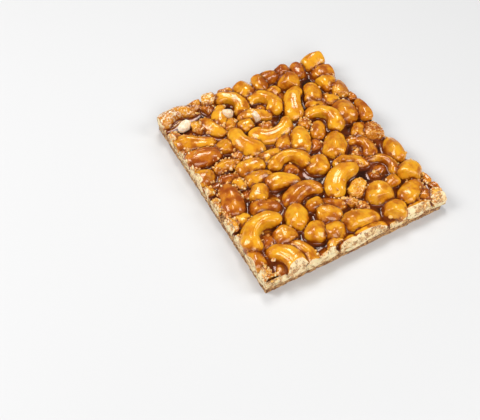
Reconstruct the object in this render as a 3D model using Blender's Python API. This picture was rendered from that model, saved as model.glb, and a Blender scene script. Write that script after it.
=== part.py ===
"""A rectangular slab of cashew brittle, cut from a larger sheet.

Whole, split and broken cashews are bound in caramel. They lie sunk in its top and stand proud of it,
the two cut sides (-X and -Y) and the underside are flat, and the other two sides are uneven.
The slab is one fused piece, so it is one solid.

Units: the sizes below are millimetres and MM turns them into Blender's metres.
Origin: the middle of the flat underside. +X along the short side, +Y along the long side, +Z up.
"""

import math
import random

import bmesh
import bpy
from mathutils import Matrix, Vector

MM = 0.001

# Driving sizes of the slab.
WIDTH = 122.0
LENGTH = 140.0
CARAMEL_TOP = 8.6
TALLEST = 17.0
NUT_FLATNESS = 0.88
ROUGH_EDGE_INSET = 2.6
ROUGH_EDGE_WAVE = 1.5

# Shape of a nut's outline from end to end.
NUT_BLUNTNESS = 3.0
NUT_TAPER = 0.15
RINGS = 11
RING_POINTS = 10

# Broken pieces that lie low in the gaps between the nuts: the least and most of each size.
GAP_SEED = 5
GAP_TRIES = 4000
GAP_CLEARANCE = 1.6
GAP_LENGTHS = (7.0, 11.0)
GAP_WIDTHS = (5.0, 7.5)
GAP_TOPS = (9.8, 12.0)

# How finely the fused surface is drawn.
VOXEL = 0.9
TRIANGLES = 9000

# The cashews of the top, each as
#   (across from the -X side, along from the -Y side, heading, length along its back, width, curl, top).
# Heading is the direction from its thick end to its thin end, in degrees from +X.
# Curl is how far it bends, in degrees: the hollow of the bend is on the left of the heading where curl
# is positive. Top is the height of its highest point above the underside.
CASHEWS = [
    # the -X half, from the back edge to the front edge
    (13, 132.5, 0, 32, 13.5, -110, 15.0),
    (27, 137, 10, 12, 7, 0, 13.5),
    (36, 136.5, 10, 15, 11, 0, 16.0),
    (33, 132, 40, 12, 8, 0, 13.0),
    (48, 138.5, -10, 12, 6, 0, 13.5),
    (59, 135, 95, 20, 13, 60, 15.5),
    (46, 126, 115, 29, 12, 165, 15.0),
    (42, 120, 30, 9, 8.5, 0, 15.5),
    (36, 121, 62, 20, 9, -15, 13.5),
    (28, 115, -68, 21, 9.5, 20, 13.5),
    (19, 119.5, 80, 12, 7, 20, 13.0),
    (13, 123.5, 40, 11, 7, 0, 13.5),
    (12.5, 108.5, -28, 28, 12, 25, 14.0),
    (11.5, 96, -8, 25, 13, 10, 14.5),
    (27, 96.5, 55, 14, 11, 0, 14.0),
    (39, 111, 60, 13, 7, 0, 12.5),
    (47, 106, 0, 12, 8, 0, 14.0),
    (55.5, 109, -20, 24, 9.5, -60, 14.0),
    (55, 108.5, 60, 6, 5.5, 0, 15.0),
    (41, 93.5, 110, 29, 14, -90, 16.0),
    (59, 95.5, -5, 33, 13, 150, 15.5),
    (60.5, 83.5, 62, 18, 8.5, 0, 14.0),
    (4, 80.5, 25, 16, 11, 0, 13.5),
    (21, 82, -5, 19, 8, -60, 13.0),
    (33, 75, -3, 20, 10.5, 0, 14.0),
    (47, 77, 0, 19, 9, 20, 13.5),
    (55, 66, -23, 30, 12.5, -165, 15.5),
    (33, 64, -5, 19, 10.5, -50, 14.5),
    (16.5, 73, -10, 15, 7, 0, 12.5),
    (20, 67.5, -40, 12, 8, 0, 13.0),
    (10, 58.5, 78, 27, 12.5, 15, 15.0),
    (2, 60, 85, 13, 7, 0, 12.0),
    (27.5, 55, 50, 17, 9.5, 0, 14.5),
    (43.5, 54.5, -20, 22, 11, -80, 15.0),
    (25.5, 44.5, -10, 19, 11, 0, 14.5),
    (10, 43, 20, 10, 8, 0, 13.0),
    (49.5, 41.5, 5, 28, 11.5, -100, 15.0),
    (15.5, 29.5, 28, 33, 14, -150, 16.5),
    (25, 22.5, 90, 14, 13, 0, 15.0),
    (16, 24, 0, 12, 9, 0, 11.5),
    (38, 31, 62, 20, 12.5, 0, 15.0),
    (51.5, 33, 70, 11, 9, 0, 14.0),
    (3, 17, 80, 16, 10, 0, 14.0),
    (16, 7, 105, 29, 14, 130, 16.0),
    (27.5, 6, 100, 24, 8.5, 70, 14.0),
    (42, 17, 50, 15, 11, 0, 14.5),
    (54, 23, -35, 17, 10.5, 0, 14.5),
    (52, 12, 20, 16, 12, 0, 14.5),
    # the +X half, from the back edge to the front edge
    (71.5, 136, 82, 20, 10, 40, 15.5),
    (81.5, 136.5, -5, 18, 11, -30, 15.0),
    (91, 137.5, 60, 12, 10, 0, 16.0),
    (101.5, 134, 75, 16, 9, 0, 14.0),
    (116, 136, 5, 20, 13, 0, 17.0),
    (116, 123, 10, 18, 12, 0, 14.5),
    (91, 127, 60, 17, 13, 0, 15.5),
    (77, 125, 15, 13, 8, 0, 13.0),
    (65.5, 117, 115, 28, 12.5, 170, 16.0),
    (84.5, 107, 60, 29, 12, -70, 16.0),
    (112, 114, 15, 14, 12, 0, 15.5),
    (98, 110, 68, 21, 11, 20, 15.0),
    (105.5, 100, -25, 14, 9, 0, 14.0),
    (94.5, 100, -35, 16, 6, 0, 14.0),
    (116, 104.5, 75, 16, 10, 0, 14.5),
    (91.5, 87, 118, 31, 12.5, 170, 16.0),
    (84.5, 81.5, 58, 17, 8, 0, 13.5),
    (108, 87, 80, 21, 14, 0, 16.0),
    (118.5, 82, 75, 21, 8, 20, 15.0),
    (70, 79, 63, 22, 12, 0, 15.5),
    (79.5, 89.5, 50, 10, 7, 0, 13.0),
    (87.5, 66, 55, 23, 14.5, 0, 15.5),
    (77, 72, 80, 11, 9, 0, 11.5),
    (107, 69, 50, 16, 8, 0, 13.5),
    (114, 64, 60, 16, 12, 0, 14.0),
    (69, 58, 65, 16, 13, 0, 15.0),
    (99, 57, 105, 25, 9.5, 150, 14.0),
    (87.5, 48, -22, 24, 10, -60, 14.5),
    (75.5, 39, 30, 30, 13, -90, 16.5),
    (80, 31, 30, 17, 8, 0, 14.0),
    (116, 45.5, 75, 20, 11, 20, 14.5),
    (102.5, 39, 115, 26, 7, 150, 14.0),
    (101, 26, 80, 9, 7, 0, 13.5),
    (114, 27, 30, 17, 14, 0, 15.5),
    (61.5, 28, -28, 18, 8, 0, 12.5),
    (70.5, 24, 20, 9, 7, 0, 12.5),
    (88.5, 21.5, 60, 17, 14.5, 0, 16.0),
    (68.5, 10.5, -10, 23, 13, -50, 15.5),
    (90, 8, 60, 15, 12.5, 0, 15.0),
    (105.5, 13.5, 25, 20, 11.5, -20, 15.0),
    (111, 8, 60, 10, 8, 0, 13.0),
    # cut through by the front side
    (5, 2, 20, 14, 9, 0, 12.0),
    (30, 0, 0, 9, 8, 0, 11.0),
    (40, 0, 5, 15, 9, 0, 12.5),
    (47, 2.5, 20, 17, 5, -150, 13.0),
    (54.5, 1, 10, 15, 10, 0, 12.5),
    (69, 1.5, 8, 23, 10, 0, 13.0),
    (85, 0, 20, 9, 8, 0, 9.5),
    (101, 1, 8, 20, 12, 0, 13.0),
    (117, 3, -40, 16, 10, 0, 12.5),
    # cut through by the -X side
    (3, 8, 80, 11, 8, 0, 12.5),
    (1, 31, 75, 14, 8, 0, 12.0),
    (2, 44, 100, 13, 8, 0, 12.5),
    (2, 71, 80, 10, 8, 0, 12.0),
    (1, 90, 85, 11, 8, 0, 12.5),
    (1, 101, 95, 12, 8, 0, 12.0),
    (2, 118, 80, 12, 9, 0, 12.5),
]


def clear_scene():
    for obj in list(bpy.data.objects):
        bpy.data.objects.remove(obj)


def add_object(name, bm):
    """A scene object made from bm, which is freed."""
    mesh = bpy.data.meshes.new(name)
    bm.to_mesh(mesh)
    bm.free()
    obj = bpy.data.objects.new(name, mesh)
    bpy.context.scene.collection.objects.link(obj)
    return obj


def along_back(length, curl, t):
    """Where a nut's centre-line is at t, which runs from -1 at its thick end to 1 at its thin end.

    Gives the place, in the nut's own frame, and the direction of the centre-line there in radians.
    """
    bend = math.radians(curl)
    if not bend:
        return Vector((length * t / 2, 0, 0)), 0.0
    radius = length / bend
    sag = radius * (1 - math.cos(bend / 2))
    turn = bend * t / 2
    return Vector((radius * math.sin(turn), radius * (1 - math.cos(turn)) - sag / 2, 0)), turn


def nut_place(across, along, heading, height):
    """The matrix that takes a nut from its own frame to its place in the slab, in millimetres."""
    spot = Vector((across - WIDTH / 2, along - LENGTH / 2, height))
    return Matrix.Translation(spot) @ Matrix.Rotation(math.radians(heading), 4, "Z")


def add_cashew(bm, across, along, heading, length, width, curl, top):
    """Adds one cashew to bm: rings of points along an arc, blunt at both ends and thinner towards its head."""
    thickness = width * NUT_FLATNESS
    place = Matrix.Scale(MM, 4) @ nut_place(across, along, heading, top - thickness / 2)
    rings = []
    for ring in range(RINGS):
        # Even steps of the cosine bring the rings closer together at the rounded ends.
        t = -math.cos(math.pi * (ring + 0.5) / RINGS)
        swell = math.sqrt(1 - abs(t) ** NUT_BLUNTNESS) * (1 - NUT_TAPER * t)
        centre, turn = along_back(length, curl, t)
        outward = Vector((-math.sin(turn), math.cos(turn), 0))
        ring_points = []
        for k in range(RING_POINTS):
            angle = 2 * math.pi * k / RING_POINTS
            offset = outward * (width / 2 * swell * math.cos(angle))
            offset.z = thickness / 2 * swell * math.sin(angle)
            ring_points.append(bm.verts.new(place @ (centre + offset)))
        rings.append(ring_points)
    for first, second in zip(rings, rings[1:]):
        for k in range(RING_POINTS):
            after = (k + 1) % RING_POINTS
            bm.faces.new((first[k], first[after], second[after], second[k]))
    bm.faces.new(rings[0][::-1])
    bm.faces.new(rings[-1])


def gap_pieces():
    """Rows like those of CASHEWS for the broken pieces in the gaps, each where no other piece lies yet."""
    dice = random.Random(GAP_SEED)
    taken = []
    for across, along, heading, length, width, curl, _ in CASHEWS:
        for step in range(7):
            spot = nut_place(across, along, heading, 0) @ along_back(length, curl, (step - 3) / 3.75)[0]
            taken.append((spot.x, spot.y, width / 2))
    pieces = []
    for _ in range(GAP_TRIES):
        across = dice.uniform(0, WIDTH)
        along = dice.uniform(0, LENGTH)
        x = across - WIDTH / 2
        y = along - LENGTH / 2
        if any(math.hypot(x - px, y - py) < reach + GAP_CLEARANCE for px, py, reach in taken):
            continue
        width = dice.uniform(*GAP_WIDTHS)
        length = dice.uniform(*GAP_LENGTHS)
        pieces.append((across, along, dice.uniform(0, 180), length, width, 0, dice.uniform(*GAP_TOPS)))
        taken.append((x, y, width / 2))
    return pieces


def edge_wave(distance):
    """How far an uneven side wanders in and out at this distance along it."""
    return ROUGH_EDGE_WAVE * (
        0.6 * math.sin(distance / 7.3 + 1.1) + 0.4 * math.sin(distance / 3.1 + 0.4)
    )


def caramel_outline():
    """The outline of the caramel seen from above: two straight cut sides and two uneven ones."""
    steps = 36
    right = WIDTH / 2 - ROUGH_EDGE_INSET
    back = LENGTH / 2 - ROUGH_EDGE_INSET
    overrun = 3.0
    points = [(-WIDTH / 2 - overrun, -LENGTH / 2 - overrun)]
    for step in range(steps):
        y = -LENGTH / 2 - overrun + (back + LENGTH / 2 + overrun) * step / steps
        points.append((right + edge_wave(y), y))
    for step in range(steps + 1):
        x = right - (right + WIDTH / 2 + overrun) * step / steps
        points.append((x, back + edge_wave(x + 20.0)))
    return points


def caramel_block():
    """The caramel between the nuts, as a block that runs past the two cut sides and the underside."""
    bm = bmesh.new()
    below = -3.0
    base = [bm.verts.new(Vector((x, y, below)) * MM) for x, y in caramel_outline()]
    floor = bm.faces.new(base)
    raised = bmesh.ops.extrude_face_region(bm, geom=[floor])["geom"]
    bmesh.ops.translate(
        bm,
        vec=Vector((0, 0, CARAMEL_TOP - below)) * MM,
        verts=[v for v in raised if isinstance(v, bmesh.types.BMVert)],
    )
    bmesh.ops.recalc_face_normals(bm, faces=bm.faces)
    return bm


def cutting_block():
    """The box that the cut sides, the underside and the slab's outer limits are trimmed to."""
    bm = bmesh.new()
    bmesh.ops.create_cube(bm, size=1.0)
    height = TALLEST + 3.0
    bmesh.ops.scale(bm, vec=Vector((WIDTH, LENGTH, height)) * MM, verts=bm.verts)
    bmesh.ops.translate(bm, vec=Vector((0, 0, height / 2)) * MM, verts=bm.verts)
    obj = add_object("cutter", bm)
    obj.hide_render = True
    obj.display_type = "WIRE"
    return obj


def brittle_material():
    material = bpy.data.materials.new("glazed_brittle")
    material.use_nodes = True
    shader = material.node_tree.nodes["Principled BSDF"]
    shader.inputs["Base Color"].default_value = (0.63, 0.27, 0.035, 1.0)
    shader.inputs["Roughness"].default_value = 0.22
    shader.inputs["Metallic"].default_value = 0.0
    return material


def apply_modifier(obj, modifier):
    bpy.context.view_layer.objects.active = obj
    bpy.ops.object.modifier_apply(modifier=modifier.name)


def build_slab():
    bm = caramel_block()
    for row in CASHEWS + gap_pieces():
        add_cashew(bm, *row)
    bmesh.ops.recalc_face_normals(bm, faces=bm.faces)
    slab = add_object("brittle_slab", bm)

    fuse = slab.modifiers.new("fuse", "REMESH")
    fuse.mode = "VOXEL"
    fuse.voxel_size = VOXEL * MM
    apply_modifier(slab, fuse)

    thin = slab.modifiers.new("thin", "DECIMATE")
    thin.ratio = TRIANGLES / (2 * len(slab.data.polygons))
    apply_modifier(slab, thin)

    trim = slab.modifiers.new("trim", "BOOLEAN")
    trim.operation = "INTERSECT"
    trim.solver = "EXACT"
    trim.object = cutting_block()

    slab.data.shade_smooth()
    slab.data.set_sharp_from_angle(angle=math.radians(50))
    slab.data.materials.append(brittle_material())
    return slab


clear_scene()
build_slab()
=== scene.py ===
"""The finish of a piece of cashew brittle: its nuts, the caramel that binds them, its cut sides and its crumbs."""

import math
import random

import bpy
import numpy as np
from mathutils import Matrix, Vector, noise
from mathutils.bvhtree import BVHTree
from mathutils.kdtree import KDTree


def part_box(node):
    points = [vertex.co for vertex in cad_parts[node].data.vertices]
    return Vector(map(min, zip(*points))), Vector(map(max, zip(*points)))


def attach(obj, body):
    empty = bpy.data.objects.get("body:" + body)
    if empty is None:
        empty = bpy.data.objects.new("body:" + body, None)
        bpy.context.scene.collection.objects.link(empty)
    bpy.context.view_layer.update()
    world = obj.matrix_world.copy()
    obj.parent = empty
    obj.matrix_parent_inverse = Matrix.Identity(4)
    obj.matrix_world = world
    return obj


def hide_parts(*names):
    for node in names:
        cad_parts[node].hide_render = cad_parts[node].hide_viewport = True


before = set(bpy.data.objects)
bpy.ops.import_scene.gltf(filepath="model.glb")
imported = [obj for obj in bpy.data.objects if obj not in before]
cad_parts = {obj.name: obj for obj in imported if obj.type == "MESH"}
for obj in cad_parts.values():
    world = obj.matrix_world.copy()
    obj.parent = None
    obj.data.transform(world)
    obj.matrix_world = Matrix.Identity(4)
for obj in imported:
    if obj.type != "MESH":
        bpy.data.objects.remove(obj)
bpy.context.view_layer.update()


# ---------------------------------------------------------------------------------------------------------
# Cashews of the top. Roasted cashews, whole, split and broken, are stirred into hot caramel and pressed
# flat, so they come out glazed all over, sunk in the caramel to about half their height, and lie every way.
# ---------------------------------------------------------------------------------------------------------

MM = 0.001
low, high = (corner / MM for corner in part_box("brittle_slab"))
WIDTH = high.x - low.x
LENGTH = high.y - low.y
NUT_FLATNESS = 0.88
NUT_BLUNTNESS = 3.0
NUT_TAPER = 0.15
NUT_HOLLOW = 0.42
NUT_SPREAD = 0.8
GROOVE_DEPTH = 0.4
WHOLE_LENGTH = 22.0
STUB_LENGTH = 18.0
CUT_BOTTOMS = (3.2, 5.8)
UNDERSIDE = 0.05

# Each nut is (across from the -X side, along from the -Y side, heading, length along its back, width, curl,
#   top, roast, breakage), in millimetres and degrees.
# Heading is the direction from its thick end to its thin end, counted from +X, and the hollow of its curl is
# on the left where curl is positive. Roast runs from 0, golden, to 1, dark. Breakage runs from 0, smooth, to
# 1, crumbled.
TOP_NUTS = [
    # the -X half, from the back edge to the front edge
    (13, 132.5, 0, 32, 13.5, -110, 15.0, 0.5, 0.6),
    (27, 137, 10, 12, 7, 0, 13.5, 0.6, 0.6),
    (36, 136.5, 10, 15, 11, 0, 16.0, 0.2, 1.0),
    (33, 132, 40, 12, 8, 0, 13.0, 0.7, 0.2),
    (48, 138.5, -10, 12, 6, 0, 13.5, 0.7, 0.4),
    (59, 135, 95, 20, 13, 60, 15.5, 0.35, 0.1),
    (46, 126, 115, 29, 12, 165, 15.0, 0.4, 0.1),
    (36, 121, 62, 20, 9, -15, 13.5, 0.3, 0.1),
    (28, 115, -68, 21, 9.5, 20, 13.5, 0.4, 0.1),
    (19, 119.5, 80, 12, 7, 20, 13.0, 0.4, 0.7),
    (12.5, 108.5, -28, 28, 12, 25, 14.0, 0.5, 0.0),
    (11.5, 96, -8, 25, 13, 10, 14.5, 0.9, 0.0),
    (27, 96.5, 55, 14, 11, 0, 14.0, 0.6, 0.0),
    (39, 111, 60, 13, 7, 0, 12.5, 0.5, 0.3),
    (47, 106, 0, 12, 8, 0, 14.0, 0.2, 0.1),
    (55.5, 109, -20, 24, 9.5, -60, 14.0, 0.4, 0.5),
    (41, 93.5, 110, 29, 14, -90, 16.0, 0.0, 0.1),
    (59, 95.5, -5, 33, 13, 150, 15.5, 0.1, 0.0),
    (60.5, 83.5, 62, 18, 8.5, 0, 14.0, 0.5, 0.3),
    (4, 80.5, 25, 16, 11, 0, 13.5, 0.5, 0.2),
    (21, 82, -5, 19, 8, -60, 13.0, 0.5, 0.5),
    (33, 75, -3, 20, 10.5, 0, 14.0, 0.35, 0.1),
    (47, 77, 0, 19, 9, 20, 13.5, 0.4, 0.1),
    (55, 66, -23, 30, 12.5, -165, 15.5, 0.25, 0.2),
    (33, 64, -5, 19, 10.5, -50, 14.5, 0.3, 0.0),
    (16.5, 73, -10, 15, 7, 0, 12.5, 0.8, 0.2),
    (20, 67.5, -40, 12, 8, 0, 13.0, 0.4, 0.5),
    (10, 58.5, 78, 27, 12.5, 15, 15.0, 0.85, 0.0),
    (2, 60, 85, 13, 7, 0, 12.0, 0.5, 0.6),
    (27.5, 55, 50, 17, 9.5, 0, 14.5, 0.45, 0.2),
    (43.5, 54.5, -20, 22, 11, -80, 15.0, 0.25, 0.0),
    (25.5, 44.5, -10, 19, 11, 0, 14.5, 0.75, 0.0),
    (10, 43, 20, 10, 8, 0, 13.0, 0.2, 0.2),
    (49.5, 41.5, 5, 28, 11.5, -100, 15.0, 0.65, 0.0),
    (15.5, 29.5, 28, 33, 14, -150, 16.5, 0.1, 0.1),
    (25, 22.5, 90, 14, 13, 0, 15.0, 0.6, 0.4),
    (16, 24, 0, 12, 9, 0, 11.5, 0.9, 0.0),
    (38, 31, 62, 20, 12.5, 0, 15.0, 0.1, 0.35),
    (51.5, 33, 70, 11, 9, 0, 14.0, 0.4, 0.1),
    (3, 17, 80, 16, 10, 0, 14.0, 0.6, 0.1),
    (16, 7, 105, 29, 14, 130, 16.0, 0.2, 0.3),
    (27.5, 6, 100, 24, 8.5, 70, 14.0, 0.45, 0.0),
    (42, 17, 50, 15, 11, 0, 14.5, 0.3, 0.1),
    (54, 23, -35, 17, 10.5, 0, 14.5, 0.5, 0.0),
    (52, 12, 20, 16, 12, 0, 14.5, 0.35, 0.2),
    # the +X half, from the back edge to the front edge
    (71.5, 136, 82, 20, 10, 40, 15.5, 0.6, 0.1),
    (81.5, 136.5, -5, 18, 11, -30, 15.0, 0.6, 0.2),
    (91, 137.5, 60, 12, 10, 0, 16.0, 0.8, 0.3),
    (101.5, 134, 75, 16, 9, 0, 14.0, 0.8, 0.2),
    (116, 136, 5, 20, 13, 0, 17.0, 0.3, 0.1),
    (116, 123, 10, 18, 12, 0, 14.5, 0.7, 0.1),
    (91, 127, 60, 17, 13, 0, 15.5, 0.6, 0.2),
    (77, 125, 15, 13, 8, 0, 13.0, 0.4, 0.1),
    (65.5, 117, 115, 28, 12.5, 170, 16.0, 0.1, 0.0),
    (84.5, 107, 60, 29, 12, -70, 16.0, 0.15, 0.2),
    (112, 114, 15, 14, 12, 0, 15.5, 0.25, 0.1),
    (98, 110, 68, 21, 11, 20, 15.0, 0.35, 0.2),
    (105.5, 100, -25, 14, 9, 0, 14.0, 0.3, 0.3),
    (94.5, 100, -35, 16, 6, 0, 14.0, 0.3, 0.1),
    (116, 104.5, 75, 16, 10, 0, 14.5, 0.5, 0.6),
    (91.5, 87, 118, 31, 12.5, 170, 16.0, 0.15, 0.0),
    (84.5, 81.5, 58, 17, 8, 0, 13.5, 0.6, 0.1),
    (108, 87, 80, 21, 14, 0, 16.0, 0.65, 0.1),
    (118.5, 82, 75, 21, 8, 20, 15.0, 0.75, 0.0),
    (70, 79, 63, 22, 12, 0, 15.5, 0.1, 0.1),
    (79.5, 89.5, 50, 10, 7, 0, 13.0, 0.7, 0.5),
    (87.5, 66, 55, 23, 14.5, 0, 15.5, 0.25, 0.4),
    (77, 72, 80, 11, 9, 0, 11.5, 1.0, 0.0),
    (107, 69, 50, 16, 8, 0, 13.5, 0.6, 0.3),
    (114, 64, 60, 16, 12, 0, 14.0, 0.8, 0.8),
    (69, 58, 65, 16, 13, 0, 15.0, 0.35, 0.1),
    (99, 57, 105, 25, 9.5, 150, 14.0, 0.65, 0.1),
    (87.5, 48, -22, 24, 10, -60, 14.5, 0.15, 0.3),
    (75.5, 39, 30, 30, 13, -90, 16.5, 0.0, 0.0),
    (80, 31, 30, 17, 8, 0, 14.0, 0.1, 0.9),
    (116, 45.5, 75, 20, 11, 20, 14.5, 0.4, 0.0),
    (102.5, 39, 115, 26, 7, 150, 14.0, 0.5, 0.3),
    (101, 26, 80, 9, 7, 0, 13.5, 0.3, 0.1),
    (114, 27, 30, 17, 14, 0, 15.5, 0.35, 0.4),
    (61.5, 28, -28, 18, 8, 0, 12.5, 0.7, 0.1),
    (70.5, 24, 20, 9, 7, 0, 12.5, 0.2, 1.0),
    (88.5, 21.5, 60, 17, 14.5, 0, 16.0, 0.35, 0.0),
    (68.5, 10.5, -10, 23, 13, -50, 15.5, 0.4, 0.1),
    (90, 8, 60, 15, 12.5, 0, 15.0, 0.3, 0.0),
    (105.5, 13.5, 25, 20, 11.5, -20, 15.0, 0.4, 0.1),
    (111, 8, 60, 10, 8, 0, 13.0, 0.6, 0.5),
    # cut through by the front side
    (5, 2, 20, 14, 9, 0, 12.0, 0.5, 1.0),
    (30, 0, 0, 9, 8, 0, 11.0, 0.2, 0.6),
    (40, 0, 5, 15, 9, 0, 12.5, 0.4, 0.1),
    (47, 2.5, 20, 17, 5, -150, 13.0, 0.3, 0.2),
    (54.5, 1, 10, 15, 10, 0, 12.5, 0.3, 0.1),
    (69, 1.5, 8, 23, 10, 0, 13.0, 0.3, 0.1),
    (85, 0, 20, 9, 8, 0, 9.5, 0.5, 0.3),
    (101, 1, 8, 20, 12, 0, 13.0, 0.4, 0.4),
    (117, 3, -40, 16, 10, 0, 12.5, 0.4, 1.0),
    # cut through by the -X side
    (3, 8, 80, 11, 8, 0, 12.5, 0.6, 0.6),
    (1, 31, 75, 14, 8, 0, 12.0, 0.5, 0.4),
    (2, 44, 100, 13, 8, 0, 12.5, 0.5, 0.6),
    (2, 71, 80, 10, 8, 0, 12.0, 0.6, 0.4),
    (1, 90, 85, 11, 8, 0, 12.5, 0.5, 0.5),
    (1, 101, 95, 12, 8, 0, 12.0, 0.5, 0.5),
    (2, 118, 80, 12, 9, 0, 12.5, 0.4, 0.5),
]


# The nuts on which sugar dust settled, by their places.
DUSTY_SPOTS = {(13, 132.5), (36, 136.5), (5, 2)}


def along_back(length, curl, t):
    """Where a nut's centre-line is at t, from -1 at its thick end to 1 at its thin end, and how far it has turned."""
    bend = math.radians(curl)
    if not bend:
        return np.stack((length * t / 2, 0 * t), axis=-1), 0 * t
    radius = length / bend
    sag = radius * (1 - math.cos(bend / 2))
    turn = bend * t / 2
    return np.stack((radius * np.sin(turn), radius * (1 - np.cos(turn)) - sag / 2), axis=-1), turn


def nut_place(across, along, heading, height, roll=0.0, pitch=0.0):
    """The matrix that takes a nut from its own frame to its place in the slab, in millimetres."""
    spot = Vector((across - WIDTH / 2, along - LENGTH / 2, height))
    turned = Matrix.Rotation(math.radians(heading), 4, "Z") @ Matrix.Rotation(math.radians(pitch), 4, "Y")
    return Matrix.Translation(spot) @ turned @ Matrix.Rotation(math.radians(roll), 4, "X")


def points_of(piece):
    points = np.empty(len(piece.data.vertices) * 3)
    piece.data.vertices.foreach_get("co", points)
    return points.reshape(-1, 3)


def move_points(piece, points):
    piece.data.vertices.foreach_set("co", np.ravel(points))
    piece.data.update()


def set_over_surface(piece, name, values):
    """Stores one number for each point of a piece, for its material to read."""
    layer = piece.data.attributes.get(name) or piece.data.attributes.new(name, "FLOAT", "POINT")
    count = len(piece.data.vertices)
    layer.data.foreach_set("value", np.broadcast_to(np.asarray(values, np.float32), count).copy())


def lumps(points, size, seed):
    """Smooth noise from about -1 to 1 at each point, with lumps of this size in millimetres."""
    shift = Vector((seed * 7.3, seed * 3.1, seed * 5.7))
    return np.array([noise.noise(Vector(point) / size + shift) for point in points])


def soft_limit(values, start, room):
    """Lets values past start grow by no more than room, so that a nut at an uneven side stays inside it."""
    over = np.maximum(values - start, 0)
    return np.where(over > 0, start + room * np.tanh(over / room), values)


def plane_off(points, directions, depths):
    """Presses a nut flat where it reaches furthest in each of these directions."""
    for direction, depth in zip(directions, depths):
        direction = np.asarray(direction) / np.linalg.norm(direction)
        height = points @ direction
        past = np.maximum(height - (height.max() - depth), 0)
        points = points - np.outer(0.88 * past, direction)
    return points


def add_nut(row, dice, around=48, rings=28, bottom=None):
    """A cashew in its place, shaped from a sphere: bent, blunt at both ends, hollow inside its bend."""
    across, along, heading, length, width, curl, top, roast, breakage = row
    bpy.ops.object.select_all(action="DESELECT")
    bpy.ops.mesh.primitive_uv_sphere_add(segments=around, ring_count=rings, radius=1)
    nut = bpy.context.object
    ball = points_of(nut)
    thickness = width * NUT_FLATNESS if bottom is None else top - bottom
    t = np.clip(ball[:, 2], -1, 1)
    ring = np.sqrt(np.maximum(1 - t ** 2, 1e-9))
    sideways = ball[:, 0] / ring
    upright = ball[:, 1] / ring
    swell = np.sqrt(np.maximum(1 - np.abs(t) ** NUT_BLUNTNESS, 0)) * (1 - NUT_TAPER * t)
    inner = np.maximum(sideways * math.copysign(1, curl), 0)
    hollow = NUT_HOLLOW * min(abs(curl) / 110, 1.45) * inner * (1 - t ** 2)
    centre, turn = along_back(length, curl, t)
    groove = GROOVE_DEPTH * np.exp(-(((sideways - dice.uniform(-0.4, 0.4)) / 0.13) ** 2)) * (upright > 0)
    groove = groove * (1 - t ** 4) * (length >= WHOLE_LENGTH)
    side = (width / 2 + NUT_SPREAD) * swell * sideways * (1 - hollow)
    shaped = np.empty_like(ball)
    shaped[:, 0] = centre[:, 0] - np.sin(turn) * side
    shaped[:, 1] = centre[:, 1] + np.cos(turn) * side
    shaped[:, 2] = thickness / 2 * swell * upright
    keel = dice.choice((0, 0.05, 0.08)) * width
    shaped[:, 2] += keel * np.exp(-((sideways / 0.35) ** 2)) * np.maximum(upright, 0) * (1 - t ** 2)
    seed = dice.uniform(0, 40)
    away = shaped - np.column_stack((centre, 0 * t))
    away /= np.maximum(np.linalg.norm(away, axis=1, keepdims=True), 1e-6)
    bumps = 0.05 * width * lumps(shaped, 0.5 * width, seed) + 0.20 * lumps(shaped, 2.8, seed + 5)
    if breakage > 0.25:
        rough = np.abs(lumps(shaped, 3.2, seed + 9)) * 1.5 + np.abs(lumps(shaped, 1.4, seed + 13)) * 0.8
        bumps -= breakage * (rough - 0.35)
    shaped += away * (bumps - groove)[:, None]
    count = 4 + int(6 * breakage)
    directions = [[dice.gauss(0, 1), dice.gauss(0, 1), dice.gauss(0, 0.4)] for _ in range(count)]
    deepest = (0.06 + 0.14 * breakage) * width
    shaped = plane_off(shaped, directions, [dice.uniform(0.2, 1) * deepest for _ in range(count)])
    if length < STUB_LENGTH:
        stump = [dice.choice((-1, 1)), dice.uniform(-0.5, 0.5), dice.uniform(-0.1, 0.6)]
        shaped = plane_off(shaped, [stump], [0.14 * length])
    tilt = nut_place(across, along, heading, top - thickness / 2, dice.uniform(-16, 16), dice.uniform(-7, 7))
    placed = shaped @ np.array(tilt.to_3x3()).T + np.array(tilt.translation)
    placed[:, 2] += top - 0.15 - placed[:, 2].max()
    placed[:, 0] = soft_limit(placed[:, 0], WIDTH / 2 - 2.0, 1.9)
    placed[:, 1] = soft_limit(placed[:, 1], LENGTH / 2 - 2.0, 1.9)
    placed[:, 2] = np.maximum(placed[:, 2], UNDERSIDE)
    move_points(nut, placed * MM)
    bpy.ops.object.shade_smooth()
    set_over_surface(nut, "roast", roast)
    set_over_surface(nut, "breakage", breakage)
    set_over_surface(nut, "dust", (across, along) in DUSTY_SPOTS)
    return nut


def join(pieces, name):
    """One object from several, under this name."""
    bpy.ops.object.select_all(action="DESELECT")
    for piece in pieces:
        piece.select_set(True)
    bpy.context.view_layer.objects.active = pieces[0]
    bpy.ops.object.join()
    joined = bpy.context.object
    joined.name = joined.data.name = name
    return joined


dice = random.Random(3)
top_nuts = []
for row in TOP_NUTS:
    at_cut_side = row[0] < row[4] / 2 or row[1] < row[4] / 2
    top_nuts.append((row, add_nut(row, dice, bottom=dice.uniform(*CUT_BOTTOMS) if at_cut_side else None)))


# ---------------------------------------------------------------------------------------------------------
# Broken pieces in the gaps. Chips of nut that slipped between the larger ones and lie low, drowned in
# caramel to near their tops.
# ---------------------------------------------------------------------------------------------------------

GAP_SEED = 5
GAP_TRIES = 4000
GAP_CLEARANCE = 1.6
GAP_LENGTHS = (7.0, 11.0)
GAP_WIDTHS = (5.0, 7.5)
GAP_TOPS = (9.8, 12.0)


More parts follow.
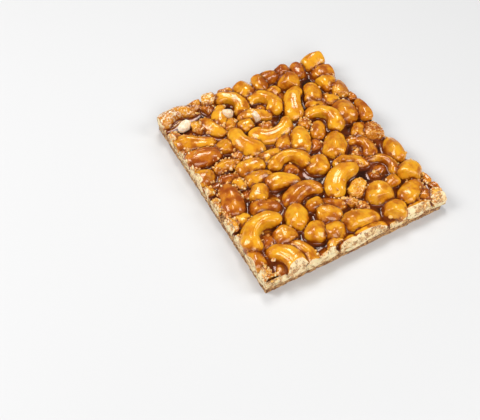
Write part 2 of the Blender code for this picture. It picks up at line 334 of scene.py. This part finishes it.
def gap_rows():
    """Rows like those of TOP_NUTS, each where no other piece lies yet."""
    gap_dice = random.Random(GAP_SEED)
    # The three pale chips belong to the nuts that the gaps are measured from.
    taken = []
    for across, along, heading, length, width, curl, *_ in TOP_NUTS + BARE_CHIPS:
        for step in range(7):
            place = nut_place(across, along, heading, 0)
            spot = place @ Vector((*along_back(length, curl, np.array((step - 3) / 3.75))[0], 0))
            taken.append((spot.x, spot.y, width / 2))
    rows = []
    for _ in range(GAP_TRIES):
        across = gap_dice.uniform(0, WIDTH)
        along = gap_dice.uniform(0, LENGTH)
        x = across - WIDTH / 2
        y = along - LENGTH / 2
        if any(math.hypot(x - px, y - py) < reach + GAP_CLEARANCE for px, py, reach in taken):
            continue
        width = gap_dice.uniform(*GAP_WIDTHS)
        length = gap_dice.uniform(*GAP_LENGTHS)
        heading = gap_dice.uniform(0, 180)
        top = gap_dice.uniform(*GAP_TOPS)
        rows.append((across, along, heading, length, width, 0, top, 0.8, 0.45))
        taken.append((x, y, width / 2))
    return rows


# Chips of bare flesh that broke off after the caramel had set, so they lie on the glaze and stay pale.
BARE_CHIPS = [
    (42, 120, 30, 9, 8.5, 0, 15.5, 0, 0.9),
    (55, 108.5, 60, 6, 5.5, 0, 15.0, 0, 0.9),
    (13, 123.5, 40, 11, 7, 0, 13.5, 0, 0.9),
]

gap_nuts = [(row, add_nut(row, dice, around=24, rings=14)) for row in gap_rows()]


# ---------------------------------------------------------------------------------------------------------
# Lower cashews. A second layer lies under the first, pressed flat against the tray that the brittle was
# poured on. It shows at the cut sides and through the underside.
# ---------------------------------------------------------------------------------------------------------

LOWER_STEP = 14.5
LOWER_TOP = 8.4
LOWER_BOTTOMS = (4.0, 6.0)


def lower_rows():
    lower_dice = random.Random(21)
    rows = []
    across_count = int(WIDTH / LOWER_STEP) + 1
    along_count = int(LENGTH / LOWER_STEP) + 1
    for i in range(across_count):
        for j in range(along_count):
            across = (i + 0.5 * (j % 2)) * LOWER_STEP + lower_dice.uniform(-2.5, 2.5)
            along = j * LOWER_STEP + lower_dice.uniform(-2.5, 2.5)
            length = lower_dice.uniform(16, 24)
            width = lower_dice.uniform(8.5, 11)
            curl = lower_dice.choice((0, 60, -80, 120, -40))
            heading = lower_dice.uniform(0, 360)
            top = LOWER_TOP + lower_dice.uniform(-1.0, 0.8)
            if across < WIDTH - 3.5 and along < LENGTH - 3.5:
                rows.append((across, along, heading, length, width, curl, top, 0.5, 0.2))
    return rows


lower_nuts = []
for row in lower_rows():
    at_cut_side = row[0] < 10 or row[1] < 10
    bottom = dice.uniform(*LOWER_BOTTOMS) if at_cut_side else None
    lower_nuts.append((row, add_nut(row, dice, around=24, rings=16, bottom=bottom)))


# ---------------------------------------------------------------------------------------------------------
# Cut sides. The set sheet is sawn into pieces on two sides, straight through nuts and caramel alike, so
# the nuts there end in flat faces of bare cream flesh.
# ---------------------------------------------------------------------------------------------------------

SIDES = ((0, WIDTH / 2), (1, LENGTH / 2))
RECESSES = (0.0, 0.5)
BREAK_SLOPES = (22.0, 50.0)
BREAK_DROPS = (1.5, 5.0)
LONG_BREAKS = {(101, 1): (46.0, 4.6), (69, 1.5): (36.0, 4.0), (85, 0): (30.0, 2.5)}
CAP_RINGS = (0.90, 0.78, 0.68, 0.50)


def slice_off(piece, point, outward, fill=True):
    """Cuts away what lies past the plane through point, and caps the cut where fill is set."""
    bpy.ops.object.select_all(action="DESELECT")
    piece.select_set(True)
    bpy.context.view_layer.objects.active = piece
    bpy.ops.object.mode_set(mode="EDIT")
    bpy.ops.mesh.select_all(action="SELECT")
    bpy.ops.mesh.bisect(
        plane_co=Vector(point) * MM, plane_no=outward, use_fill=fill, clear_outer=True, threshold=1e-6
    )
    bpy.ops.object.mode_set(mode="OBJECT")


class Wire:
    """One output of a shader node. Operators on it add Math nodes, and node adds any other kind."""

    def __init__(self, tree, socket):
        self.tree = tree
        self.socket = socket

    def node(self, kind, inputs, output=0, stops=None, **settings):
        made = self.tree.nodes.new(kind)
        for name, value in settings.items():
            setattr(made, name, value)
        if stops:
            ramp = made.color_ramp
            while len(ramp.elements) < len(stops):
                ramp.elements.new(0.5)
            for element, (position, colour) in zip(ramp.elements, stops):
                element.position = position
                element.color = (*colour, 1)
        for key, value in inputs.items():
            if isinstance(value, Wire):
                self.tree.links.new(value.socket, made.inputs[key])
            else:
                made.inputs[key].default_value = value
        return Wire(self.tree, made.outputs[output])

    def maths(self, operation, *values, clamp=False):
        return self.node("ShaderNodeMath", dict(enumerate(values)), operation=operation, use_clamp=clamp)

    def __add__(self, other):
        return self.maths("ADD", self, other)

    def __sub__(self, other):
        return self.maths("SUBTRACT", self, other)

    def __rsub__(self, other):
        return self.maths("SUBTRACT", other, self)

    def __mul__(self, other):
        return self.maths("MULTIPLY", self, other)

    def __truediv__(self, other):
        return self.maths("DIVIDE", self, other)

    __radd__ = __add__
    __rmul__ = __mul__

    def between(self, start, end):
        """0 below start and 1 above end, smooth between them."""
        return self.node(
            "ShaderNodeMapRange",
            {"Value": self, "From Min": start, "From Max": end},
            interpolation_type="SMOOTHSTEP",
        )

    def noise(self, size, detail=2.0, roughness=0.5):
        """Noise from 0 to 1 with lumps of this size in millimetres. It starts from object coordinates."""
        inputs = {"Vector": self, "Scale": 1 / (size * MM), "Detail": detail, "Roughness": roughness}
        return self.node("ShaderNodeTexNoise", inputs)

    def stored(self, name):
        """A number stored over the surface of the piece."""
        return self.node("ShaderNodeAttribute", {}, output="Fac", attribute_name=name)

    def mix(self, first, second):
        """first where this is 0 and second where it is 1; both are colours or wires of colours."""
        first, second = ((*c, 1) if isinstance(c, tuple) else c for c in (first, second))
        return self.node("ShaderNodeMix", {0: self, 6: first, 7: second}, output=2, data_type="RGBA")

    def bump(self, height_mm, strength=1.0, after=None):
        """The normal of a surface that this height, from 0 to 1, raises by height_mm."""
        inputs = {"Height": self, "Distance": height_mm * MM, "Strength": strength}
        if after:
            inputs["Normal"] = after
        return self.node("ShaderNodeBump", inputs)


def new_material(name, **constants):
    """A material, the wire of its object coordinates, and its shader with these constants set."""
    made = bpy.data.materials.new(name)
    made.use_nodes = True
    tree = made.node_tree
    shader = tree.nodes["Principled BSDF"]
    for key, value in constants.items():
        shader.inputs[key.replace("_", " ")].default_value = value
    coordinates = tree.nodes.new("ShaderNodeTexCoord")
    return made, Wire(tree, coordinates.outputs["Object"]), shader


def finish_with(shader, colour=None, roughness=None, normal=None):
    for key, wire in (("Base Color", colour), ("Roughness", roughness), ("Normal", normal)):
        if wire:
            wire.tree.links.new(wire.socket, shader.inputs[key])


def glazed_nut_material():
    """Roasted nut under a clear glaze: golden on top, redder under the caramel film that climbs it from the shore,
    and darkened there by painted shade where it meets the caramel.
    """
    made, place, shader = new_material(
        "glazed_nut", Coat_Weight=0.45, Coat_Roughness=0.07, Subsurface_Weight=0.12,
        Subsurface_Scale=0.002, Subsurface_Radius=(1.0, 0.4, 0.06), Specular_Tint=(1.0, 0.84, 0.56, 1),
    )
    roast = place.stored("roast")
    sunk = place.stored("sunk")
    broken = place.stored("breakage")
    dust = place.stored("dust")
    patches = place.noise(6.0, 3.0).between(0.36, 0.66)
    streaks = place.noise(2.4, 3.0).between(0.35, 0.7)
    fine = place.noise(1.2, 3.0)
    gold = patches.mix((0.80, 0.385, 0.016), (0.64, 0.215, 0.006))
    dark = patches.mix((0.52, 0.135, 0.007), (0.30, 0.055, 0.003))
    base = (roast * 0.8 + patches * 0.22 + streaks * 0.14 + dust * 0.15).between(0.15, 1.0).mix(gold, dark)
    film = (1 - (sunk + streaks * 1.9 - patches * 1.3).between(0.2, 2.6)) * 0.88
    base = film.mix(base, (0.27, 0.050, 0.002))
    # Painted shade: along the shore where the nut meets the caramel, the colour is drawn almost to black to stand in
    # for the shade in that crevice. The film above is the real caramel coat.
    painted_shade_at_shore = 1 - sunk.between(0.0, 0.9)
    base = (painted_shade_at_shore * 0.9).mix(base, (0.050, 0.008, 0.001))
    crumb = broken.between(0.35, 1.0) * fine.between(0.48, 0.60) * sunk.between(0.6, 2.5)
    base = (crumb * 0.55).mix(base, (0.88, 0.58, 0.18))
    powder = dust * (fine * 0.6 + streaks * 0.16 + patches * 0.16).between(0.44, 0.54) * sunk.between(0.5, 2.5)
    base = (powder * 0.85).mix(base, (0.86, 0.70, 0.46))
    rough = 0.12 + fine * 0.12 + crumb * 0.12 + powder * 0.4
    waves = place.noise(2.8, 2.0).bump(0.34)
    grain = (fine * (0.45 + broken * 0.8 + dust)).bump(0.20, after=waves)
    finish_with(shader, base, rough, grain)
    return made


def nut_flesh_material():
    """Bare roasted flesh: cream, dry and crumbly, with thin brown seams and dark specks."""
    made, place, shader = new_material("nut_flesh", Subsurface_Weight=0.1, Subsurface_Scale=0.002)
    clouds = place.noise(3.5, 4.0, 0.6)
    grain = place.noise(0.8, 4.0, 0.7)
    seams = place.node("ShaderNodeTexVoronoi", {"Vector": place, "Scale": 230.0}, feature="DISTANCE_TO_EDGE")
    colour = clouds.between(0.42, 0.78).mix((0.97, 0.79, 0.47), (0.82, 0.48, 0.16))
    smears = place.noise(4.2, 5.0, 0.7).between(0.50, 0.58)
    sticky = grain.between(0.40, 0.62).mix((0.27, 0.070, 0.010), (0.74, 0.40, 0.13))
    colour = (smears * 0.85).mix(colour, sticky)
    cracks = (1 - seams.between(0.005, 0.045)) * clouds.between(0.45, 0.6)
    colour = (cracks * 0.85).mix(colour, (0.24, 0.070, 0.012))
    colour = ((1 - grain.between(0.28, 0.38)) * 0.85).mix(colour, (0.16, 0.055, 0.014))
    rough = 0.5 + grain * 0.3
    normal = (grain + clouds).bump(0.45)
    finish_with(shader, colour, rough, normal)
    return made


glazed_nut = glazed_nut_material()
nut_flesh = nut_flesh_material()


def faces_on(nut, point, outward):
    """The faces of a nut that lie in the plane of a cut."""
    return [
        face for face in nut.data.polygons
        if face.normal.dot(outward) > 0.999 and abs((face.center / MM - point).dot(outward)) < 0.01
    ]


def open_cap(nut, middle, point, outward):
    """Fills the cut face around this middle with rings drawn towards it."""
    for part in (*nut.data.polygons, *nut.data.edges, *nut.data.vertices):
        part.select = False
    min(faces_on(nut, point, outward), key=lambda face: (face.center - middle).length).select = True
    bpy.ops.object.mode_set(mode="EDIT")
    bpy.ops.mesh.select_mode(type="FACE")
    for ring in CAP_RINGS:
        bpy.ops.mesh.extrude_region_move()
        bpy.ops.transform.resize(value=(ring, ring, ring), center_override=middle)
    bpy.ops.mesh.poke()
    bpy.ops.object.mode_set(mode="OBJECT")


def cut_nut(nut, point, outward, crumble):
    """Slices a nut at this plane and bares its flesh there. It says whether the plane crosses the nut."""
    reach = points_of(nut) / MM @ np.array(outward)
    level = point.dot(outward)
    if reach.max() <= level or reach.min() > level - 0.8:
        return False
    slice_off(nut, point, outward)
    for middle in [face.center.copy() for face in faces_on(nut, point, outward)]:
        open_cap(nut, middle, point, outward)
    flesh = faces_on(nut, point, outward)
    for face in flesh:
        face.material_index = 1
    bare = {corner for face in flesh for corner in face.vertices}
    skin = {corner for face in nut.data.polygons if face.material_index == 0 for corner in face.vertices}
    inner = sorted(bare - skin)
    points = points_of(nut) / MM
    dents = np.abs(lumps(points[inner], 2.6, 1)) * 0.6 + np.abs(lumps(points[inner], 5.0, 2)) * 0.8
    points[inner] -= np.outer(dents * crumble, outward)
    move_points(nut, points * MM)
    return True


def break_at_sides(nut, dice, spot):
    """Cuts a nut at the sawn sides, and breaks its upper edge off at a slope where it was cut."""
    was_cut = False
    for axis, half in SIDES:
        outward = Vector((0, 0, 0))
        outward[axis] = -1
        side = outward * (half - dice.uniform(*RECESSES))
        if not cut_nut(nut, side, outward, 1.0):
            continue
        was_cut = True
        slope, drop = dice.uniform(*BREAK_SLOPES), dice.uniform(*BREAK_DROPS)
        slope, drop = LONG_BREAKS.get(spot, (slope, drop))
        slope = math.radians(slope)
        edge = side + Vector((0, 0, points_of(nut)[:, 2].max() / MM - drop))
        cut_nut(nut, edge, outward * math.cos(slope) + Vector((0, 0, math.sin(slope))), 0.5)
    inside = np.array([-WIDTH / 2, -LENGTH / 2, 0]) + 0.03
    move_points(nut, np.maximum(points_of(nut), inside * MM))
    return was_cut


def is_outside(nut):
    """Whether a nut lies past a sawn side altogether."""
    points = points_of(nut) / MM
    return any(points[:, axis].max() < 0.8 - half for axis, half in SIDES)


cut_dice = random.Random(8)
groups = {"whole_cashews": [], "broken_cashews": [], "cut_cashews": [], "gap_pieces": [], "lower_cashews": []}
for kind, nuts in (("top", top_nuts), ("gap", gap_nuts), ("lower", lower_nuts)):
    for row, nut in nuts:
        if is_outside(nut):
            bpy.data.objects.remove(nut)
            continue
        nut.data.materials.append(glazed_nut)
        nut.data.materials.append(nut_flesh)
        cut = break_at_sides(nut, cut_dice, row[:2])
        if kind == "lower":
            groups["lower_cashews"].append(nut)
        elif cut:
            groups["cut_cashews"].append(nut)
        elif kind == "gap":
            groups["gap_pieces"].append(nut)
        elif row[3] >= WHOLE_LENGTH:
            groups["whole_cashews"].append(nut)
        else:
            groups["broken_cashews"].append(nut)

nut_pieces = []
for name, members in groups.items():
    piece = join(members, name)
    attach(piece, "root")
    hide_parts("brittle_slab")
    nut_pieces.append(piece)
    print("PIECE", name, len(members), "nuts", sum(len(p.vertices) - 2 for p in piece.data.polygons), "triangles")


# ---------------------------------------------------------------------------------------------------------
# Caramel. Sugar boiled to a deep amber, poured round the nuts and set hard and clear. It draws up into
# every crease between them, thin and golden over a nut, deep brown where it pools.
# ---------------------------------------------------------------------------------------------------------

CARAMEL_TOP = 7.7
CARAMEL_VOXEL = 0.64
CARAMEL_DRAW = 0.35
CARAMEL_KEEP = 0.65
ROUGH_EDGE_INSET = 2.6
ROUGH_EDGE_WAVE = 1.5
OVERRUN = 3.0


def edge_wave(distance):
    """How far an uneven side wanders in and out at this distance along it."""
    return ROUGH_EDGE_WAVE * (0.6 * np.sin(distance / 7.3 + 1.1) + 0.4 * np.sin(distance / 3.1 + 0.4))


def apply(piece, kind, **settings):
    """Adds a modifier of this kind to a piece and applies it."""
    bpy.ops.object.select_all(action="DESELECT")
    piece.select_set(True)
    bpy.context.view_layer.objects.active = piece
    modifier = piece.modifiers.new(kind, kind)
    for name, value in settings.items():
        setattr(modifier, name, value)
    bpy.ops.object.modifier_apply(modifier=modifier.name)


def copy_of(piece):
    twin = piece.copy()
    twin.data = piece.data.copy()
    bpy.context.scene.collection.objects.link(twin)
    return twin


everything = join([copy_of(piece) for piece in nut_pieces], "probe")
tree_of_nuts = BVHTree.FromPolygons(
    [v.co for v in everything.data.vertices], [p.vertices for p in everything.data.polygons]
)
bare_faces = [p.material_index == 1 for p in everything.data.polygons]
bpy.data.objects.remove(everything)


def depth_over_nuts(point):
    """How far a point lies outside the nearest nut, in millimetres, with where that is and which face it is."""
    spot, normal, face, away = tree_of_nuts.find_nearest(point)
    return math.copysign(away / MM, (point - spot).dot(normal)), spot, normal, face


def draw_back(points, axis, level, depth, clearance):
    """Draws caramel back behind the nuts that end at a flat side, so that they lie bare there."""
    inwards = Vector((0, 0, 0))
    inwards[axis] = 1
    for index in np.nonzero(points[:, axis] - level < depth)[0]:
        start = Vector(points[index])
        start[axis] = level - 1
        spot, *_ = tree_of_nuts.ray_cast(start * MM, inwards, (1 + depth) * MM)
        if spot is not None:
            points[index, axis] = max(points[index, axis], spot[axis] / MM + clearance)


bpy.ops.object.select_all(action="DESELECT")
bpy.ops.mesh.primitive_cube_add(size=1)
pour = bpy.context.object
bpy.ops.object.mode_set(mode="EDIT")
bpy.ops.mesh.select_all(action="SELECT")
bpy.ops.mesh.subdivide(number_cuts=40)
bpy.ops.object.mode_set(mode="OBJECT")
block = points_of(pour) + 0.5
right = WIDTH / 2 - ROUGH_EDGE_INSET
back = LENGTH / 2 - ROUGH_EDGE_INSET
x = -WIDTH / 2 - OVERRUN + block[:, 0] * (right + WIDTH / 2 + OVERRUN)
y = -LENGTH / 2 - OVERRUN + block[:, 1] * (back + LENGTH / 2 + OVERRUN)
block[:, 2] = -OVERRUN + block[:, 2] * (CARAMEL_TOP + OVERRUN)
block[:, 0] = x + edge_wave(y) * np.clip(x / right, 0, 1)
block[:, 1] = y + edge_wave(x + 20.0) * np.clip(y / back, 0, 1)
move_points(pour, block * MM)

thin_shell = join([copy_of(piece) for piece in nut_pieces], "mould")
for name in ("roast", "breakage", "dust"):
    thin_shell.data.attributes.remove(thin_shell.data.attributes[name])
thin_shell.data.materials.clear()
apply(thin_shell, "DISPLACE", strength=-CARAMEL_DRAW * MM, mid_level=0.0)
caramel = join([pour, thin_shell], "caramel")
apply(caramel, "REMESH", mode="VOXEL", voxel_size=CARAMEL_VOXEL * MM, use_smooth_shade=True)
apply(caramel, "SMOOTH", factor=0.5, iterations=20)
slice_off(caramel, (-WIDTH / 2 + 0.15, 0, 0), (-1, 0, 0))
slice_off(caramel, (0, -LENGTH / 2 + 0.15, 0), (0, -1, 0))
slice_off(caramel, (0, 0, 0), (0, 0, -1))
apply(caramel, "REMESH", mode="VOXEL", voxel_size=CARAMEL_VOXEL * MM, use_smooth_shade=True)
buried = caramel.vertex_groups.new(name="buried")
buried.add([v.index for v in caramel.data.vertices if depth_over_nuts(v.co)[0] < -0.25], 1.0, "REPLACE")
apply(caramel, "DECIMATE", ratio=CARAMEL_KEEP, vertex_group="buried")
caramel.vertex_groups.clear()
bounds = points_of(caramel) / MM
sawn = [np.clip(1 - (bounds[:, i] + size / 2 - 0.15) / 0.6, 0, 1) for i, size in ((0, WIDTH), (1, LENGTH))]
grit = np.abs(lumps(bounds, 1.7, 3)) * 1.1 + np.abs(lumps(bounds, 5.0, 4)) * 0.8
for i in range(2):
    bounds[:, i] += sawn[i] * grit
for axis, half in SIDES:
    draw_back(bounds, axis, -half, 2.4, 0.5)
bounds[:, 0] = np.maximum(bounds[:, 0], 0.05 - WIDTH / 2)
bounds[:, 1] = np.maximum(bounds[:, 1], 0.05 - LENGTH / 2)
bounds[:, 2] = np.maximum(bounds[:, 2], 0)
draw_back(bounds, 2, 0, 0.4, 0.3)
move_points(caramel, bounds * MM)
set_over_surface(caramel, "sawn", np.maximum(*sawn))
print("CARAMEL", sum(len(p.vertices) - 2 for p in caramel.data.polygons), "triangles")

def caramel_material():
    """Hard clear caramel: amber where it is thin over a nut, deep red-brown where it pools, gritty where sawn."""
    made, place, shader = new_material("caramel", Specular_Tint=(1.0, 0.82, 0.74, 1))
    depth = place.stored("depth")
    sawn = place.stored("sawn").between(0.3, 0.8)
    patches = place.noise(7.0, 2.0)
    grit = place.noise(1.3, 5.0, 0.7)
    colour = (depth + patches * 0.8 - 0.4).between(0.1, 2.2).mix((0.17, 0.030, 0.002), (0.030, 0.006, 0.001))
    gritty = grit.between(0.42, 0.60).mix((0.17, 0.048, 0.008), (0.70, 0.40, 0.15))
    colour = sawn.mix(colour, gritty)
    rough = 0.06 + place.noise(1.2, 3.0) * 0.08 + sawn * 0.45
    waves = place.noise(4.0, 1.0).bump(0.15)
    normal = (grit * sawn).bump(0.6, after=waves)
    finish_with(shader, colour, rough, normal)
    return made


depths = []
bounds = points_of(caramel)
for vertex in caramel.data.vertices:
    depth, spot, normal, face = depth_over_nuts(vertex.co)
    if bare_faces[face] and -0.3 < depth < 1.0:
        bounds[vertex.index] = spot - normal * 0.3 * MM
        depth = -0.3
    depths.append(depth)
move_points(caramel, bounds)
set_over_surface(caramel, "depth", depths)

shore = KDTree(len(depths))
for vertex, depth in zip(caramel.data.vertices, depths):
    if depth > 0.02 and vertex.co.z > 4 * MM:
        shore.insert(vertex.co, vertex.index)
shore.balance()
# Each nut point keeps its distance from the caramel shore as sunk. The glaze reads it for the caramel film and for
# its painted shade along the shore.
for piece in nut_pieces:
    rise = [shore.find(vertex.co)[2] / MM for vertex in piece.data.vertices]
    rise = np.where(points_of(piece)[:, 2] < 3 * MM, np.minimum(rise, 1.3), rise)
    set_over_surface(piece, "sunk", rise)
caramel.data.materials.clear()
caramel.data.materials.append(caramel_material())
for face in caramel.data.polygons:
    face.use_smooth = True
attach(caramel, "root")
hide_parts("brittle_slab")


# ---------------------------------------------------------------------------------------------------------
# Bare chips. Small chunks of cashew flesh that broke off after the caramel had set, so they stay pale.
# ---------------------------------------------------------------------------------------------------------

def chip_material():
    """Clean flesh of a freshly broken nut, ivory all over."""
    made, place, shader = new_material("chip_flesh", Subsurface_Weight=0.25, Subsurface_Scale=0.002)
    clouds = place.noise(2.5, 3.0)
    colour = clouds.between(0.35, 0.7).mix((0.90, 0.79, 0.61), (0.74, 0.54, 0.31))
    finish_with(shader, colour, 0.45 + clouds * 0.2, clouds.bump(0.2))
    return made


CHIP_SIZES = ((9.0, 7.4), (8.0, 6.8), (13.0, 6.0))

ivory = chip_material()
chips = [
    add_nut((*row[:3], *size, *row[5:]), dice, around=20, rings=12)
    for row, size in zip(BARE_CHIPS, CHIP_SIZES)
]
for chip, (_, width) in zip(chips, CHIP_SIZES):
    directions = [[dice.gauss(0, 1), dice.gauss(0, 1), dice.gauss(0, 0.7)] for _ in range(8)]
    middle = points_of(chip).mean(axis=0) / MM
    rounded = points_of(chip) / MM - middle
    faceted = plane_off(rounded, directions, [0.13 * width] * 8)
    faceted[:, 2] += rounded[:, 2].max() - faceted[:, 2].max()
    move_points(chip, (faceted + middle) * MM)
    bpy.ops.object.select_all(action="DESELECT")
    chip.select_set(True)
    bpy.context.view_layer.objects.active = chip
    bpy.ops.object.shade_flat()
    chip.data.materials.append(ivory)
bare_chips = join(chips, "bare_chips")
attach(bare_chips, "root")


# ---------------------------------------------------------------------------------------------------------
# Crumbs. Grains of sugar and nut, from dust to grains of rice, that stick to the glaze. They are thickest
# round the broken nuts and on the uneven sides.
# ---------------------------------------------------------------------------------------------------------

CRUMBS = 1000
CRUMB_SIZES = (0.35, 1.1)
CRUMB_LEVEL = 11.5
SIDE_SHARE = 0.3
SPLINTER_SHARE = 0.14
SPLINTER_SIZES = (0.9, 1.7)
SPLINTER_LEVEL = 10.5

crumb_dice = random.Random(12)
broken_spots = [row for row in TOP_NUTS if row[8] >= 0.5]
ground = BVHTree.FromPolygons(
    [v.co for piece in nut_pieces[:4] for v in piece.data.vertices],
    [
        [corner + start for corner in face.vertices]
        for piece, start in zip(
            nut_pieces[:4], np.cumsum([0] + [len(piece.data.vertices) for piece in nut_pieces[:4]]).tolist()
        )
        for face in piece.data.polygons
    ],
)
grains = copy_of(nut_pieces[0])
grains.name = grains.data.name = "crumbs"
grains.data.clear_geometry()
grains.data.materials.clear()
bpy.ops.object.select_all(action="DESELECT")
grains.select_set(True)
bpy.context.view_layer.objects.active = grains
bpy.ops.object.mode_set(mode="EDIT")
placed = 0
while placed < CRUMBS:
    across, along, _, length, width, *_ = crumb_dice.choice(broken_spots)
    spread = 0.38 * length if crumb_dice.random() < 0.75 else 9.0
    x = across - WIDTH / 2 + crumb_dice.gauss(0, spread)
    y = along - LENGTH / 2 + crumb_dice.gauss(0, spread)
    splinter = crumb_dice.random() < SPLINTER_SHARE
    if splinter:
        x, y = crumb_dice.uniform(-0.5, 0.5) * WIDTH, crumb_dice.uniform(-0.5, 0.5) * LENGTH
    if not (-WIDTH / 2 + 1 < x < WIDTH / 2 - 1.5 and -LENGTH / 2 + 1 < y < LENGTH / 2 - 1.5):
        continue
    start, towards = Vector((x, y, 40)), Vector((0, 0, -1))
    if crumb_dice.random() < SIDE_SHARE and not splinter:
        across_side = crumb_dice.random() < 0.55
        rise = crumb_dice.uniform(1.5, 12.0)
        run = crumb_dice.uniform(-0.47, 0.47)
        start = Vector((80, run * LENGTH, rise)) if across_side else Vector((run * WIDTH, 90, rise))
        towards = Vector((-1, 0, 0)) if across_side else Vector((0, -1, 0))
    spot, *_ = ground.ray_cast(start * MM, towards)
    level = SPLINTER_LEVEL if splinter else 15.6 if crumb_dice.random() < 0.04 else CRUMB_LEVEL
    if spot is None or spot.z > level * MM:
        continue
    if spot.x > (WIDTH / 2 - 1.2) * MM or spot.y > (LENGTH / 2 - 1.2) * MM:
        continue
    size = crumb_dice.uniform(*(SPLINTER_SIZES if splinter else CRUMB_SIZES)) * MM
    bpy.ops.mesh.primitive_ico_sphere_add(
        subdivisions=1, radius=size, location=spot,
        rotation=[crumb_dice.uniform(0, math.pi) for _ in range(3)],
        scale=(crumb_dice.uniform(0.8, 1.5), 1, crumb_dice.uniform(0.5, 0.9)),
    )
    placed += 1
bpy.ops.object.mode_set(mode="OBJECT")
crumb_points = points_of(grains) / MM
chipped = np.stack([lumps(crumb_points, 0.6, seed) for seed in (31, 32, 33)], axis=-1)
crumb_points += 0.3 * chipped
room = np.array([WIDTH / 2, LENGTH / 2, 40]) - 0.1
move_points(grains, np.clip(crumb_points, -room, room) * MM)
grain_look, grain_place, grain_shader = new_material("grains", Subsurface_Weight=0.2, Subsurface_Scale=0.001)
tint = grain_place.noise(2.2, 2.0).between(0.35, 0.65)
cream = grain_place.noise(1.6, 1.0).between(0.55, 0.63)
grain_colour = cream.mix(tint.mix((0.86, 0.50, 0.13), (0.50, 0.15, 0.012)), (0.90, 0.71, 0.40))
finish_with(grain_shader, grain_colour, 0.25 + tint * 0.2)
grains.data.materials.append(grain_look)
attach(grains, "root")


# ---------------------------------------------------------------------------------------------------------
# Floor, light and camera.
# ---------------------------------------------------------------------------------------------------------

VIEW_AIM = Vector((-45.8, -13.7, 0)) * MM
VIEW_AZIMUTH = math.radians(-28.7)
VIEW_ELEVATION = math.radians(53.6)
VIEW_DISTANCE = 392 * MM

bpy.ops.object.select_all(action="DESELECT")
bpy.ops.mesh.primitive_plane_add(size=4)
floor = bpy.context.object
floor.name = "floor"
floor_white, _, floor_shader = new_material("floor_white", Roughness=0.6)
floor_shader.inputs["Base Color"].default_value = (0.65, 0.65, 0.65, 1)
floor.data.materials.append(floor_white)

camera = bpy.data.objects.new("camera", bpy.data.cameras.new("camera"))
bpy.context.scene.collection.objects.link(camera)
camera.data.lens = 50
camera.data.sensor_width = 36
camera.data.clip_start = 0.01
towards_viewer = Vector((
    math.sin(VIEW_AZIMUTH) * math.cos(VIEW_ELEVATION),
    -math.cos(VIEW_AZIMUTH) * math.cos(VIEW_ELEVATION),
    math.sin(VIEW_ELEVATION),
))
camera.location = VIEW_AIM + towards_viewer * VIEW_DISTANCE
camera.rotation_euler = (-towards_viewer).to_track_quat("-Z", "Y").to_euler()
bpy.context.scene.camera = camera


def soft_box(name, bearing, elevation, distance, size, power, colour=(1, 1, 1)):
    """A square soft light that faces the slab, from this bearing in degrees counted from +X."""
    light = bpy.data.lights.new(name, "AREA")
    light.shape = "RECTANGLE"
    light.size, light.size_y = size
    light.energy = power
    light.color = colour
    lamp = bpy.data.objects.new(name, light)
    bpy.context.scene.collection.objects.link(lamp)
    bearing = math.radians(bearing)
    elevation = math.radians(elevation)
    aim = Vector((
        math.cos(bearing) * math.cos(elevation), math.sin(bearing) * math.cos(elevation), math.sin(elevation)
    ))
    lamp.location = aim * distance
    lamp.rotation_euler = aim.to_track_quat("Z", "Y").to_euler()


soft_box("window_back_left", 150, 44, 0.9, (0.40, 0.40), 5.1)
soft_box("window_right", -35, 38, 0.9, (0.30, 0.44), 3.1)
soft_box("front_fill", -105, 32, 0.9, (0.70, 0.40), 4.2)
soft_box("pool_panel", 66, 57, 1.0, (0.28, 0.34), 4.0)

world = bpy.data.worlds.new("studio")
bpy.context.scene.world = world
world.use_nodes = True
world.node_tree.nodes["Background"].inputs["Color"].default_value = (1, 1, 1, 1)
world.node_tree.nodes["Background"].inputs["Strength"].default_value = 0.16
bpy.context.scene.view_settings.view_transform = "Standard"
